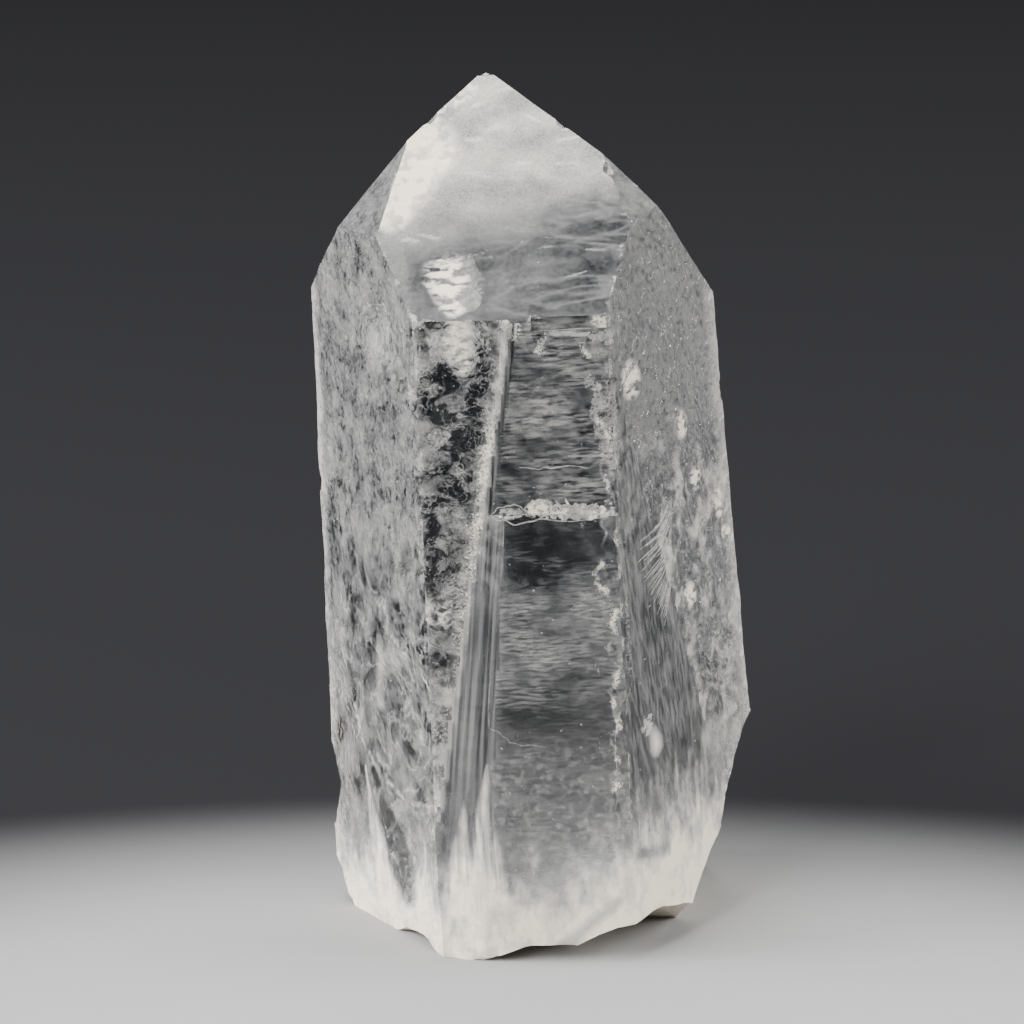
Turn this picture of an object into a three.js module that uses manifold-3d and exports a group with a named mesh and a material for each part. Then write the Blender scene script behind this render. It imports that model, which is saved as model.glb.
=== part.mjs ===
// Quartz point: one natural crystal, grown as a six-sided prism with a six-faced tip,
// and broken off its matrix at the base. It stands on the feet of that broken base.
//
// Everything is in millimetres and degrees, with +Z up and -Y towards the front.
// The crystal is shaped upright in its own frame, whose origin is on the crystal's long
// axis at the level of the base. It is then leaned to the way it stands, and its base is
// broken off level with the surface that it stands on.
import * as THREE from 'three';
import { ConvexGeometry } from 'three/addons/geometries/ConvexGeometry.js';
import { mergeVertices } from 'three/addons/utils/BufferGeometryUtils.js';
import Module from 'manifold-3d';

// How the crystal stands.
const LEAN_LEFT = 3.8;
const LEAN_FORWARD = 0.4;

// Prism faces. turn is the face's direction about the long axis, 0 at the front and growing
// to the right; slope is how far it leans back from upright, and reach is its distance from
// the axis at the base.
const PRISM_FACES = {
  front: { turn: -1.5, slope: 1.5, reach: 13.05 },
  frontRight: { turn: 61.5, slope: 1.7, reach: 13.5 },
  backRight: { turn: 119, slope: 1.0, reach: 14.75 },
  back: { turn: 180, slope: 1.4, reach: 13.2 },
  backLeft: { turn: 239, slope: 1.7, reach: 12.7 },
  frontLeft: { turn: 300, slope: 1.5, reach: 11.65 },
};

// Tip faces: three large ones and three small ones between them. height is where the face
// would cross the long axis.
const TIP_FACES = {
  largeFront: { turn: -0.5, slope: 39.0, height: 59.5 },
  largeRight: { turn: 119.5, slope: 38.7, height: 60.3 },
  largeLeft: { turn: 239, slope: 38.4, height: 59.6 },
  smallRight: { turn: 57, slope: 37.4, height: 66.0 },
  smallLeft: { turn: 299, slope: 37.8, height: 63.5 },
  smallBack: { turn: 180, slope: 38.2, height: 64.2 },
};

// The seam that splits the front prism face, from its upper to its lower end. Left of it the
// face is set back, and right of it a narrow band slopes out to the middle of the face.
const SEAM_TOP = [0.8, 44.8];
const SEAM_FOOT = [-5.9, 12.0];
const SEAM_PANEL = { turn: -2.5, slope: 0.2, reach: 11.9 };
const SEAM_BAND_TURN = 17;

// The growth steps across the middle of the front face, to the right of from. Above a step
// the face is set back by depth, and the setback fades out over rise.
const GROWTH_STEPS = [
  { height: 31.6, from: -1.6, tilt: -4, depth: 0.36, rise: 14 },
  { height: 44.1, from: 2.4, tilt: 0, depth: 0.3, rise: 3 },
];

// The vicinal bands that shave the front edge of the front right face and the rear face.
const RIGHT_BAND = { turn: 57, slope: 0.25, reach: 12.95 };
const REAR_BAND = { turn: 172, slope: 2.1, reach: 13.45 };

// The oblique break below the right shoulder: two nearly flat shells, one above the other.
const SIDE_BREAKS = [
  { centre: [46.8, -1.0, -0.3], radius: 35 },
  { centre: [38.9, -3.0, -9.9], radius: 31 },
];

// The shells that broke out of the base: where each is deepest, how deep it goes, and its
// radius of curvature. Between them stand the feet.
const BASE_SHELLS = [
  { at: [9.5, -12.0], depth: 3.2, radius: 13 },
  { at: [1.0, -14.5], depth: 1.3, radius: 10 },
  { at: [-10.5, 4.5], depth: 2.4, radius: 9 },
  { at: [5.5, 11.5], depth: 2.8, radius: 11 },
  { at: [-0.5, -1.0], depth: 1.7, radius: 16 },
  { at: [15.5, -0.5], depth: 2.2, radius: 8 },
  { at: [-9.5, -9.5], depth: 0.8, radius: 7 },
];

// Ripples of the broken base: concentric rings, as glassy fractures have.
const RIPPLE_LENGTH = 1.9;
const RIPPLE_HEIGHT = 0.09;

// Chips along the edges between two faces: height above the base, and the chip's radius and
// depth.
const EDGE_CHIPS = [
  { faces: ['frontLeft', 'backLeft'], height: 9.4, radius: 8.0, depth: 0.7 },
  { faces: ['frontLeft', 'backLeft'], height: 1.2, radius: 5.0, depth: 1.0 },
  { faces: ['frontLeft', 'backLeft'], height: 31.5, radius: 2.0, depth: 0.22 },
  { faces: ['frontRight', 'front'], height: 29.6, radius: 1.5, depth: 0.45 },
  { faces: ['frontRight', 'front'], height: 38.6, radius: 1.3, depth: 0.3 },
  { faces: ['frontRight', 'front'], height: 43.2, radius: 1.1, depth: 0.25 },
  { faces: ['frontRight', 'backRight'], height: 36.0, radius: 2.2, depth: 0.2 },
  { faces: ['backRight', 'back'], height: 22.0, radius: 2.6, depth: 0.5 },
  { faces: ['backRight', 'back'], height: 39.0, radius: 1.6, depth: 0.3 },
  { faces: ['backLeft', 'back'], height: 15.5, radius: 3.0, depth: 0.6 },
  { faces: ['backLeft', 'back'], height: 34.0, radius: 1.5, depth: 0.3 },
  { faces: ['largeFront', 'largeLeft'], height: 57.0, radius: 1.4, depth: 0.22 },
  { faces: ['largeFront', 'largeRight'], height: 56.2, radius: 1.2, depth: 0.2 },
  { faces: ['largeFront', 'smallRight'], height: 53.4, radius: 1.2, depth: 0.2 },
  { faces: ['largeRight', 'largeLeft'], height: 55.0, radius: 1.8, depth: 0.3 },
];

// Shallow shells flaked off the faces near the base: across is the distance along the face
// from its middle, to the right as one looks at it.
const FACE_CHIPS = [
  { face: 'frontLeft', across: 2.6, height: 7.6, radius: 9, depth: 0.55 },
  { face: 'frontRight', across: -4.6, height: 6.6, radius: 9, depth: 0.4 },
  { face: 'backLeft', across: 1.0, height: 4.5, radius: 10, depth: 0.8 },
  { face: 'backRight', across: -3.0, height: 5.5, radius: 12, depth: 0.7 },
  { face: 'back', across: 2.5, height: 3.5, radius: 9, depth: 0.6 },
];

const TIP_WEAR = { radius: 1.6, depth: 0.5 };

const FAR = 90;

const wasm = await Module();
wasm.setup();

function toSolid(geometry) {
  geometry.deleteAttribute('normal');
  geometry.deleteAttribute('uv');
  const merged = mergeVertices(geometry, 1e-5);
  const vertProperties = new Float32Array(merged.attributes.position.array);
  const triVerts = new Uint32Array(merged.index.array);
  return new wasm.Manifold(new wasm.Mesh({ numProp: 3, vertProperties, triVerts }));
}

function toGeometry(solid) {
  const mesh = solid.getMesh();
  const geometry = new THREE.BufferGeometry();
  geometry.setAttribute('position', new THREE.BufferAttribute(mesh.vertProperties, 3));
  geometry.setIndex(new THREE.BufferAttribute(mesh.triVerts, 1));
  return geometry;
}

// A face's outward direction: level at slope 0, straight up at slope 90.
function faceNormal({ turn, slope }) {
  const a = THREE.MathUtils.degToRad(turn);
  const s = THREE.MathUtils.degToRad(slope);
  return new THREE.Vector3(Math.sin(a) * Math.cos(s), -Math.cos(a) * Math.cos(s), Math.sin(s));
}

function facePlane(face) {
  const normal = faceNormal(face);
  const distance = face.height === undefined ? face.reach : face.height * normal.z;
  return new THREE.Plane(normal, -distance);
}

function crossing(a, b, c) {
  const bc = new THREE.Vector3().crossVectors(b.normal, c.normal);
  const ca = new THREE.Vector3().crossVectors(c.normal, a.normal);
  const ab = new THREE.Vector3().crossVectors(a.normal, b.normal);
  const scale = a.normal.dot(bc);
  if (Math.abs(scale) < 1e-9) {
    return null;
  }
  const sum = bc.multiplyScalar(a.constant);
  sum.addScaledVector(ca, b.constant);
  sum.addScaledVector(ab, c.constant);
  return sum.divideScalar(-scale);
}

// The convex solid behind a set of planes, from the corners where three of them meet.
function solidBehind(planes) {
  const corners = [];
  for (let i = 0; i < planes.length; i += 1) {
    for (let j = i + 1; j < planes.length; j += 1) {
      for (let k = j + 1; k < planes.length; k += 1) {
        const point = crossing(planes[i], planes[j], planes[k]);
        if (point && planes.every((plane) => plane.distanceToPoint(point) < 1e-6)) {
          corners.push(point);
        }
      }
    }
  }
  return toSolid(new ConvexGeometry(corners));
}

function levelAt(height) {
  return new THREE.Plane(new THREE.Vector3(0, 0, 1), -height);
}

function outsideOf(plane) {
  return plane.clone().negate();
}

function boxPlanes(size) {
  const axes = [new THREE.Vector3(1, 0, 0), new THREE.Vector3(0, 1, 0), new THREE.Vector3(0, 0, 1)];
  return axes.flatMap((axis) => [
    new THREE.Plane(axis, -size),
    new THREE.Plane(axis.clone().negate(), -size),
  ]);
}

// A point on a face that looks out at turn, from its place across the face and its height.
function onFace(plane, turn, across, height) {
  const a = THREE.MathUtils.degToRad(turn);
  const side = new THREE.Plane(new THREE.Vector3(Math.cos(a), Math.sin(a), 0), -across);
  return crossing(plane, side, levelAt(height));
}

const faces = {};
for (const [name, face] of Object.entries({ ...PRISM_FACES, ...TIP_FACES })) {
  faces[name] = facePlane(face);
}

function grownCrystal() {
  const foot = new THREE.Plane(new THREE.Vector3(0, 0, -1), -8);
  return solidBehind([...Object.values(faces), foot]);
}

function cutSeam(solid) {
  const panel = facePlane(SEAM_PANEL);
  const top = onFace(panel, 0, ...SEAM_TOP);
  const bottom = onFace(panel, 0, ...SEAM_FOOT);
  const turn = THREE.MathUtils.degToRad(SEAM_BAND_TURN);
  const outwards = top.clone().add(new THREE.Vector3(Math.cos(turn), -Math.sin(turn), 0));
  const band = new THREE.Plane().setFromCoplanarPoints(top, bottom, outwards);
  return solid.subtract(solidBehind([outsideOf(panel), outsideOf(band), ...boxPlanes(FAR)]));
}

function cutGrowthStep(solid, { height, from, tilt, depth, rise }) {
  const front = PRISM_FACES.front;
  const ledge = levelAt(height);
  ledge.normal.copy(faceNormal({ turn: 90, slope: 90 + tilt }));
  const fade = THREE.MathUtils.radToDeg(Math.atan(depth / rise));
  const slope = front.slope - fade;
  const foot = onFace(faces.front, 0, 0, height);
  foot.y += depth;
  const upper = new THREE.Plane().setFromNormalAndCoplanarPoint(
    faceNormal({ turn: front.turn, slope }),
    foot,
  );
  const side = new THREE.Plane(new THREE.Vector3(-1, 0, 0), from);
  const cutter = solidBehind([outsideOf(upper), outsideOf(ledge), side, ...boxPlanes(FAR)]);
  return solid.subtract(cutter);
}

function cutBand(solid, band) {
  return solid.subtract(solidBehind([outsideOf(facePlane(band)), ...boxPlanes(FAR)]));
}

function ball(centre, radius, detail) {
  const geometry = new THREE.SphereGeometry(radius, detail, detail / 2);
  geometry.rotateX(Math.PI / 2);
  geometry.translate(...centre);
  return toSolid(geometry);
}

function cutEdgeChip(solid, { faces: [first, second], height, radius, depth }) {
  const outwards = faces[first].normal.clone().add(faces[second].normal).normalize();
  const point = crossing(faces[first], faces[second], levelAt(height));
  const centre = point.addScaledVector(outwards, radius - depth);
  return solid.subtract(ball(centre.toArray(), radius, 16));
}

function cutFaceChip(solid, { face, across, height, radius, depth }) {
  const point = onFace(faces[face], PRISM_FACES[face].turn, across, height);
  const centre = point.addScaledVector(faces[face].normal, radius - depth);
  return solid.subtract(ball(centre.toArray(), radius, 40));
}

function wearTip(solid) {
  const tip = crossing(faces.largeFront, faces.largeRight, faces.largeLeft);
  const centre = [tip.x, tip.y, tip.z + TIP_WEAR.radius - TIP_WEAR.depth];
  return solid.subtract(ball(centre, TIP_WEAR.radius, 20));
}

// A shell-shaped break, rising from below to its full depth, with rings round its middle.
function baseShell({ at, depth, radius }) {
  const steps = 18;
  const profile = [new THREE.Vector2(0, -radius)];
  const rimAngle = Math.PI * 0.62;
  for (let i = 0; i <= steps; i += 1) {
    const angle = rimAngle * (1 - i / steps);
    const arc = angle * radius;
    const ripple = RIPPLE_HEIGHT * Math.cos((2 * Math.PI * arc) / RIPPLE_LENGTH);
    const r = radius + (i === steps ? 0 : ripple);
    profile.push(new THREE.Vector2(i === steps ? 0 : r * Math.sin(angle), r * Math.cos(angle)));
  }
  const geometry = new THREE.LatheGeometry(profile, 28);
  geometry.rotateX(Math.PI / 2);
  geometry.translate(at[0], at[1], depth - radius);
  return toSolid(geometry);
}

function breakBase(solid) {
  const ground = new THREE.Plane(new THREE.Vector3(0, 0, 1), 0);
  let broken = solid.subtract(solidBehind([ground, ...boxPlanes(FAR)]));
  for (const shell of BASE_SHELLS) {
    broken = broken.subtract(baseShell(shell));
  }
  for (const { centre, radius } of SIDE_BREAKS) {
    broken = broken.subtract(ball(centre, radius, 48));
  }
  return broken;
}

function lean(solid) {
  return solid.rotate([LEAN_FORWARD, 0, 0]).rotate([0, -LEAN_LEFT, 0]);
}

function quartzPoint() {
  let crystal = grownCrystal();
  crystal = cutSeam(crystal);
  for (const step of GROWTH_STEPS) {
    crystal = cutGrowthStep(crystal, step);
  }
  crystal = cutBand(crystal, RIGHT_BAND);
  crystal = cutBand(crystal, REAR_BAND);
  for (const chip of EDGE_CHIPS) {
    crystal = cutEdgeChip(crystal, chip);
  }
  for (const chip of FACE_CHIPS) {
    crystal = cutFaceChip(crystal, chip);
  }
  crystal = wearTip(crystal);
  crystal = breakBase(lean(crystal));

  const geometry = toGeometry(crystal);
  geometry.computeBoundingBox();
  const centre = geometry.boundingBox.getCenter(new THREE.Vector3());
  geometry.translate(-centre.x, -centre.y, 0);
  const quartz = new THREE.MeshStandardMaterial({
    color: 0xd9d6cd,
    roughness: 0.3,
    metalness: 0,
    transparent: true,
    opacity: 0.55,
  });
  const mesh = new THREE.Mesh(geometry, quartz);
  mesh.name = 'quartz_point';
  return mesh;
}

const model = new THREE.Group();
model.add(quartzPoint());

export default model;
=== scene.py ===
import math
import random

import bpy
import numpy as np
from mathutils import Matrix, Vector, noise
from mathutils.bvhtree import BVHTree
from mathutils.kdtree import KDTree


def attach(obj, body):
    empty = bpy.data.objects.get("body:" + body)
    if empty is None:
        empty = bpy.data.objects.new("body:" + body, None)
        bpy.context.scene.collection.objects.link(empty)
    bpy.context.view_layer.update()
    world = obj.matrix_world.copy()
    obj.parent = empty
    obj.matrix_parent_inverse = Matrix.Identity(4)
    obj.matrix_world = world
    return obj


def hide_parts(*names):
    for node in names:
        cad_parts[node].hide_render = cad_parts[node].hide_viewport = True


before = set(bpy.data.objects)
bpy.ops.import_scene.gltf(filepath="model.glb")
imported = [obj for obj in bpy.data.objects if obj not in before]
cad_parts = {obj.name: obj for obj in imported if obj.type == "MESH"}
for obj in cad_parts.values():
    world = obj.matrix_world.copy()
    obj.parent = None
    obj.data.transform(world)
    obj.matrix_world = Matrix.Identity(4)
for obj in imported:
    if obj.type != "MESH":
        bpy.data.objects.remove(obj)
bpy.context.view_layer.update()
MM = 0.001


# ---------------------------------------------------------------------------------------
# Camera, floor and light. The crystal is seen from a little above, through a long close-up
# lens. It stands on paper with a painted pool of light, pale around the crystal and fading
# into painted charcoal shade further out, in the light of four soft boxes.
VIEW_DOWN = math.radians(14.66)
VIEW_DISTANCE = 390 * MM
view_target = Vector((-1.45, 0, 28.45)) * MM
view_direction = Vector((0, math.cos(VIEW_DOWN), -math.sin(VIEW_DOWN)))
bpy.ops.object.camera_add(
    location=view_target - view_direction * VIEW_DISTANCE,
    rotation=(math.pi / 2 - VIEW_DOWN, 0, 0),
)
camera = bpy.context.object
camera.name = "camera"
camera.data.lens = 197.2
camera.data.sensor_width = 36
camera.data.clip_start = 0.01
bpy.context.scene.camera = camera


def linear(hex_colour):
    """An sRGB hex colour as the linear RGBA that the shaders take."""
    channels = [int(hex_colour[i : i + 2], 16) / 255 for i in (1, 3, 5)]
    return [c / 12.92 if c <= 0.04045 else ((c + 0.055) / 1.055) ** 2.4 for c in channels] + [1]


def new_material(name):
    """An empty material and its node tree."""
    material = bpy.data.materials.new(name)
    material.use_nodes = True
    material.node_tree.nodes.clear()
    return material, material.node_tree


def add(tree, kind, inputs=(), output=0, **settings):
    """Adds a shader node with its inputs, by order or name, and gives the output asked for."""
    node = tree.nodes.new("ShaderNode" + kind)
    for name, value in settings.items():
        setattr(node, name, value)
    named = inputs.items() if isinstance(inputs, dict) else enumerate(inputs)
    for name, value in named:
        if isinstance(value, bpy.types.NodeSocket):
            tree.links.new(value, node.inputs[name])
        else:
            node.inputs[name].default_value = value
    return node.outputs[output] if node.outputs else None


def light_pool_paper_material():
    """Matt paper with a painted pool of light: pale near the crystal, fading into painted charcoal shade.
    """
    material, tree = new_material("paper_with_painted_light_pool")
    place = add(tree, "TexCoord", output="Object")
    centre = [-offset / PAINTED_SHADE_FROM for offset in LIGHT_POOL_CENTRE]
    scale = [1 / (PAINTED_SHADE_FROM * side) for side in LIGHT_POOL_STRETCH] + [0]
    mapping = add(tree, "Mapping", {"Vector": place, "Location": centre, "Scale": scale})
    length = add(tree, "VectorMath", (mapping,), "Value", operation="LENGTH")
    ramp = add(tree, "ValToRGB", (length,))
    colours = ramp.node.color_ramp
    colours.interpolation = "EASE"
    colours.elements[0].position = LIGHT_POOL_TO / PAINTED_SHADE_FROM
    colours.elements[0].color = linear("#979797")
    colours.elements[1].color = linear("#232325")
    matt = {"Base Color": ramp, "Roughness": 1.0, "Specular IOR Level": 0.0}
    shader = add(tree, "BsdfPrincipled", matt)
    add(tree, "OutputMaterial", (shader,))
    return material


# The painted pool of light: its middle, its stretch, and where it fades into painted shade.
LIGHT_POOL_CENTRE = (0, -20 * MM, 0)
LIGHT_POOL_STRETCH = (1.8, 1)
LIGHT_POOL_TO = 18 * MM
PAINTED_SHADE_FROM = 46 * MM
bpy.ops.mesh.primitive_circle_add(vertices=96, radius=0.6, fill_type="NGON")
floor = bpy.context.object
floor.name = "studio_floor"
floor.data.materials.append(light_pool_paper_material())

world = bpy.data.worlds.new("charcoal_room")
world.use_nodes = True
world.node_tree.nodes["Background"].inputs["Color"].default_value = linear("#1c1c1e")
bpy.context.scene.world = world


def add_softbox(name, place, size, power):
    """A square soft box that faces the middle of the crystal."""
    place = Vector(place)
    facing = (Vector((0, 0, 0.03)) - place).to_track_quat("-Z", "Y")
    bpy.ops.object.light_add(type="AREA", location=place, rotation=facing.to_euler())
    light = bpy.context.object
    light.name = name
    light.data.size = size
    light.data.energy = power
    light.visible_camera = False


add_softbox("left_softbox", (-0.56, -0.06, 0.32), 0.40, 9.4)
add_softbox("right_softbox", (0.56, 0.02, 0.30), 0.36, 6.4)
add_softbox("top_softbox", (-0.05, 0.06, 0.62), 0.40, 4.6)
add_softbox("front_softbox", (-0.34, -0.40, 0.40), 0.34, 5.4)


# ---------------------------------------------------------------------------------------
# The crystal: clear rock crystal, grown as one six-sided prism with a six-faced tip. Its
# skin is the outer surface as it grew, was etched in its pocket and broke off the rock, so
# each family of faces has a finish of its own.
LEAN = Matrix.Rotation(math.radians(-3.8), 3, "Y") @ Matrix.Rotation(math.radians(0.4), 3, "X")
SKIN_LEVELS = 8
SKIN_SCALE = 0.86  # with those levels the skin's cells are 0.27 mm wide, as the smallest etch pits

# Which way each grown face looks: its turn about the length and its slope back, in degrees.
FACE_DIRECTIONS = {
    "front": (-1.5, 1.5),
    "seam_panel": (-2.5, 0.2),
    "seam_band": (-18.5, 1.0),
    "step_face": (-1.5, 0.0),
    "front_right": (61.5, 1.7),
    "right_band": (57, 0.25),
    "back_right": (119, 1.0),
    "rear_band": (172, 2.1),
    "back": (180, 1.4),
    "back_left": (239, 1.7),
    "front_left": (300, 1.5),
    "large_front": (-0.5, 39.0),
    "large_right": (119.5, 38.7),
    "large_left": (239, 38.4),
    "small_right": (57, 37.4),
    "small_left": (299, 37.8),
    "small_back": (180, 38.2),
}


def face_direction(turn, slope):
    """The outward direction of a grown face, leaned as the crystal stands."""
    turn, slope = math.radians(turn), math.radians(slope)
    level = math.cos(slope)
    return LEAN @ Vector((math.sin(turn) * level, -math.cos(turn) * level, math.sin(slope)))


def copy_of_node(node_name, name):
    """A copy of a CAD node with its loose triangles merged, selected and active."""
    bpy.ops.object.select_all(action="DESELECT")
    piece = bpy.data.objects.new(name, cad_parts[node_name].data.copy())
    bpy.context.scene.collection.objects.link(piece)
    piece.data.materials.clear()
    bpy.context.view_layer.objects.active = piece
    piece.select_set(True)
    bpy.ops.object.mode_set(mode="EDIT")
    bpy.ops.mesh.select_all(action="SELECT")
    bpy.ops.mesh.remove_doubles(threshold=0.0001 * MM)
    bpy.ops.object.mode_set(mode="OBJECT")
    return piece


def modify(piece, name, kind, **settings):
    """Shapes a piece by a modifier with those settings, and applies it."""
    bpy.context.view_layer.objects.active = piece
    modifier = piece.modifiers.new(name, kind)
    for setting, value in settings.items():
        setattr(modifier, setting, value)
    bpy.ops.object.modifier_apply(modifier=name)


crystal = copy_of_node("quartz_point", "quartz_crystal")
modify(crystal, "fine_skin", "REMESH", mode="SHARP", octree_depth=SKIN_LEVELS, scale=SKIN_SCALE)


def read_vectors(items, field):
    """A vector field of a mesh's vertices or polygons as an array with one row each."""
    values = np.empty(len(items) * 3)
    items.foreach_get(field, values)
    return values.reshape(-1, 3)


def sort_faces(piece):
    """The name of the grown face that each polygon of the skin lies on, or broken."""
    names = list(FACE_DIRECTIONS)
    directions = np.array([face_direction(*FACE_DIRECTIONS[name]) for name in names])
    nearness = read_vectors(piece.data.polygons, "normal") @ directions.T
    centres = read_vectors(piece.data.polygons, "center")
    above_breaks = centres[:, 2] > BREAKS_UP_TO
    grown = (nearness.max(axis=1) > math.cos(GROWN_WITHIN)) | above_breaks
    kinds = np.array(names + ["broken"])[np.where(grown, nearness.argmax(axis=1), len(names))]
    top, foot = [Vector(end) * MM for end in SEAM]
    past_seam = centres[:, 0] - np.interp(centres[:, 2], [foot.z, top.z], [foot.x, top.x])
    frontal = np.isin(kinds, ["front", "step_face", "seam_panel"])
    kinds[(kinds == "seam_panel") & (past_seam > 0)] = "front"
    kinds[frontal & (past_seam < 0)] = "seam_panel"
    kinds[frontal & (past_seam > 0) & (past_seam < SEAM_EDGE)] = "seam_band"
    return kinds


BREAKS_UP_TO = 14 * MM
GROWN_WITHIN = math.radians(4)
SEAM = ((-1.9, -12.0, 44.5), (-6.4, -12.5, 11.4))  # the top and foot of the seam, in mm
SEAM_EDGE = 0.1 * MM
skin_faces = sort_faces(crystal)


def measure_from_arris(piece, attribute, first_names, second_names):
    """Stores how far, in mm, each corner of the skin is from where two kinds of face meet."""
    touches_first = np.zeros(len(piece.data.vertices), dtype=bool)
    touches_second = touches_first.copy()
    corners = np.empty(len(piece.data.loops), dtype=int)
    piece.data.loops.foreach_get("vertex_index", corners)
    corners_of_face = np.empty(len(piece.data.polygons), dtype=int)
    piece.data.polygons.foreach_get("loop_total", corners_of_face)
    face_of_corner = np.repeat(skin_faces, corners_of_face)
    touches_first[corners[np.isin(face_of_corner, first_names)]] = True
    touches_second[corners[np.isin(face_of_corner, second_names)]] = True
    places = read_vectors(piece.data.vertices, "co")
    arris = places[touches_first & touches_second]
    tree = KDTree(len(arris))
    for index, place in enumerate(arris):
        tree.insert(place, index)
    tree.balance()
    distances = [tree.find(place)[2] / MM for place in places]
    layer = piece.data.attributes.new(attribute, "FLOAT", "POINT")
    layer.data.foreach_set("value", distances)


def group_skin(piece, group, names):
    """A vertex group of the corners of the named faces."""
    chosen = np.flatnonzero(np.isin(skin_faces, names))
    corners = {index for face in chosen for index in piece.data.polygons[face].vertices}
    piece.vertex_groups.new(name=group).add(list(corners), 1.0, "REPLACE")


SIDE_FACES = ["front_left", "front_right"]
TIP_FACES = ["large_front", "large_right", "large_left"]
FRONT_FACES = ["front", "step_face"]
RIGHT_FACES = ["front_right", "right_band"]
REAR_FACES = ["back_right", "rear_band", "back", "back_left"]
SKIN_GROUPS = {
    "sides": SIDE_FACES,
    "tip": TIP_FACES,
    "fronts": FRONT_FACES,
    "rears": REAR_FACES,
    "panel": ["seam_panel"],
    "bands": ["seam_band", "right_band"],
    "breaks": ["broken"],
}
for group, names in SKIN_GROUPS.items():
    group_skin(crystal, group, names)

# Each arris, and the two kinds of face that meet there.
ARRISES = {
    "from_right_border": (FRONT_FACES, RIGHT_FACES),
    "from_tip_arris": (["large_front"], SIDE_FACES + ["small_left", "small_right"]),
    "from_panel_border": (SIDE_FACES, ["seam_panel"]),
    "from_outer_arris": (SIDE_FACES, REAR_FACES),
    "from_band_border": (["seam_band"], FRONT_FACES),
    "from_seam": (["seam_panel"], ["seam_band"]),
}
for attribute, (first_names, second_names) in ARRISES.items():
    measure_from_arris(crystal, attribute, first_names, second_names)


def wear_down(piece, attribute, reach, rounds):
    """Rounds off an arris, out to a distance in mm from it."""
    gaps = np.empty(len(piece.data.vertices))
    piece.data.attributes[attribute].data.foreach_get("value", gaps)
    arris = piece.vertex_groups.new(name="arris_" + attribute)
    arris.add(np.flatnonzero(gaps < reach).tolist(), 1.0, "REPLACE")
    modify(piece, "worn_arris", "SMOOTH", vertex_group=arris.name, iterations=rounds)


wear_down(crystal, "from_band_border", 0.9, 10)
wear_down(crystal, "from_panel_border", 0.7, 4)


def relief(piece, name, group, size, stretch, height, depth):
    """Raises and sinks a group of the skin by clouds of that size and height, in mm."""
    texture = bpy.data.textures.new(name, "CLOUDS")
    texture.noise_scale = size * MM
    texture.noise_depth = depth
    bpy.ops.object.empty_add(rotation=LEAN.to_euler())
    frame_of_pattern = bpy.context.object
    frame_of_pattern.scale = stretch
    modify(
        piece,
        name,
        "DISPLACE",
        texture=texture,
        texture_coords="OBJECT",
        texture_coords_object=frame_of_pattern,
        vertex_group=group,
        strength=height * MM,
    )
    bpy.data.objects.remove(frame_of_pattern)


relief(crystal, "etch_pits", "sides", 0.9, (1, 1, 1.7), 0.10, 2)
relief(crystal, "side_swells", "sides", 3.5, (1, 1, 1.6), 0.16, 1)
relief(crystal, "tip_hills", "tip", 2.2, (2.4, 2.4, 1), 0.08, 2)
relief(crystal, "front_steps", "fronts", 1.0, (4, 4, 0.8), 0.05, 1)
relief(crystal, "rear_hills", "rears", 1.6, (1.6, 1.6, 1), 0.10, 2)
relief(crystal, "panel_worms", "panel", 1.1, (1.3, 1.3, 1), 0.10, 2)
relief(crystal, "band_streaks", "bands", 0.8, (1, 1, 30), 0.05, 1)
relief(crystal, "break_lumps", "breaks", 2.5, (1, 1, 1), 0.35, 2)


# The finishes. A grown face shows how it was etched: haze is the share of it that is frosted
# white, and roughness blurs what is seen through the rest. The frost's own grain is too fine
# to show, so it is drawn 0.16 mm wide. Places and sizes are in millimetres.
def place_on_crystal(tree, stretch=(1, 1, 1), tilt=0, shift=0.0):
    """A place in the crystal's own leaned frame, or one tilted from it in degrees, stretched."""
    place = add(tree, "TexCoord", output="Object")
    turn = (LEAN @ Matrix.Rotation(math.radians(tilt), 3, "Y")).to_euler()
    upright = add(tree, "Mapping", {"Vector": place, "Rotation": turn}, vector_type="TEXTURE")
    scale = [1 / (MM * side) for side in stretch]
    return add(tree, "Mapping", {"Vector": upright, "Location": (shift,) * 3, "Scale": scale})


def grain(tree, size, stretch=(1, 1, 1), detail=2.0, distortion=0.0, seed=0.0, tilt=0):
    """Noise with grains of that size, stretched along the crystal's axes."""
    place = place_on_crystal(tree, [size * side for side in stretch], tilt, seed)
    terms = {"Vector": place, "Scale": 1.0, "Detail": detail, "Distortion": distortion}
    return add(tree, "TexNoise", terms, "Fac")


def mottle(tree, size, sharp=0.1, share=0.5, **pattern):
    """Blotches of that size that cover a share of the face, with edges as sharp as told."""
    middle = 0.5 + (0.5 - share) * 0.4
    edges = (grain(tree, size, **pattern), middle - sharp, middle + sharp)
    return add(tree, "MapRange", edges)


def worms(tree, size, width, **pattern):
    """Thin curly lines, one where noise of that size crosses its middle value."""
    level = add(tree, "Math", (grain(tree, size, **pattern), 0.5), operation="SUBTRACT")
    gap = add(tree, "Math", (level,), operation="ABSOLUTE")
    return add(tree, "MapRange", (gap, 0.0, width, 1.0, 0.0))


def blend(tree, *layers):
    """Adds up layers, each a strength and its patterns, which are multiplied together."""
    total = 0.0
    for product, *patterns in layers:
        for pattern in patterns:
            product = add(tree, "Math", (product, pattern), operation="MULTIPLY")
        total = add(tree, "Math", (total, product), operation="ADD")
    return total


def strongest(tree, patterns):
    """The strongest of several patterns at each place."""
    top, *others = patterns
    for pattern in others:
        top = add(tree, "Math", (top, pattern), operation="MAXIMUM")
    return top


def arris_gap(tree, attribute):
    """How far, in mm, a place on the skin is from an arris."""
    return add(tree, "Attribute", output="Fac", attribute_name=attribute)


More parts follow.
